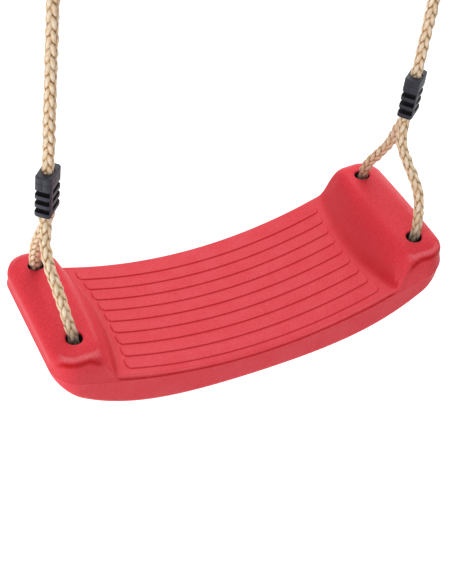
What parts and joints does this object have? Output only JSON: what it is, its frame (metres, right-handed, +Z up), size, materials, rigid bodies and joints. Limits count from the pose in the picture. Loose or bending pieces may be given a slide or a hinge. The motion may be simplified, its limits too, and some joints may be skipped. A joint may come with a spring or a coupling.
{
  "type": "belt swing seat",
  "caption": "Moulded plastic playground swing seat, dished, with a raised lug at each end, hung on plaited ropes that end in moulded clamps, rope eyes and steel rings.",
  "frame": {"origin": "bearing point at the inner top of the left ring, on which that side of the swing hangs", "axes": "+X along the seat from the left lug to the right lug, +Z up, -Y towards the front edge in the picture"},
  "size_m": [0.4196, 0.153, 0.5339],
  "materials": {
    "seat_plastic": "satin, fine moulded grain",
    "rope": "plaited, hemp coloured",
    "clamp_plastic": "satin black",
    "ring_steel": "galvanised"
  },
  "bodies": {
    "rings": {"left_ring": "ring_steel", "right_ring": "ring_steel"},
    "left_rope": {"left_rope_eye": "rope", "left_upper_clamp": "clamp_plastic", "left_rope_line": "rope", "left_lower_clamp": "clamp_plastic"},
    "right_rope": {"right_rope_eye": "rope", "right_upper_clamp": "clamp_plastic", "right_rope_line": "rope", "right_lower_clamp": "clamp_plastic"},
    "seat": {"seat": "seat_plastic", "left_rope_loop": "rope", "right_rope_loop": "rope"}
  },
  "joints": [
    {"name": "left_swing", "type": "hinge", "parent": "rings", "child": "left_rope", "pos_m": [-0.0022, 0, -0.04791], "axis": [1, 0, 0], "range_deg": [-50, 50]},
    {"name": "right_swing", "type": "hinge", "parent": "rings", "child": "right_rope", "pos_m": [0.33553, 0, -0.04791], "axis": [1, 0, 0], "range_deg": [-50, 50]},
    {"name": "seat_tilt", "type": "hinge", "parent": "left_rope", "child": "seat", "pos_m": [-0.02611, 0, -0.32921], "axis": [0.9999, 0, 0.0105], "range_deg": [-30, 30], "deforming": ["left_rope_loop", "right_rope_loop"]}
  ],
  "couplings": [
    {"joint": "right_swing", "follows": "left_swing", "ratio": 1}
  ]
}
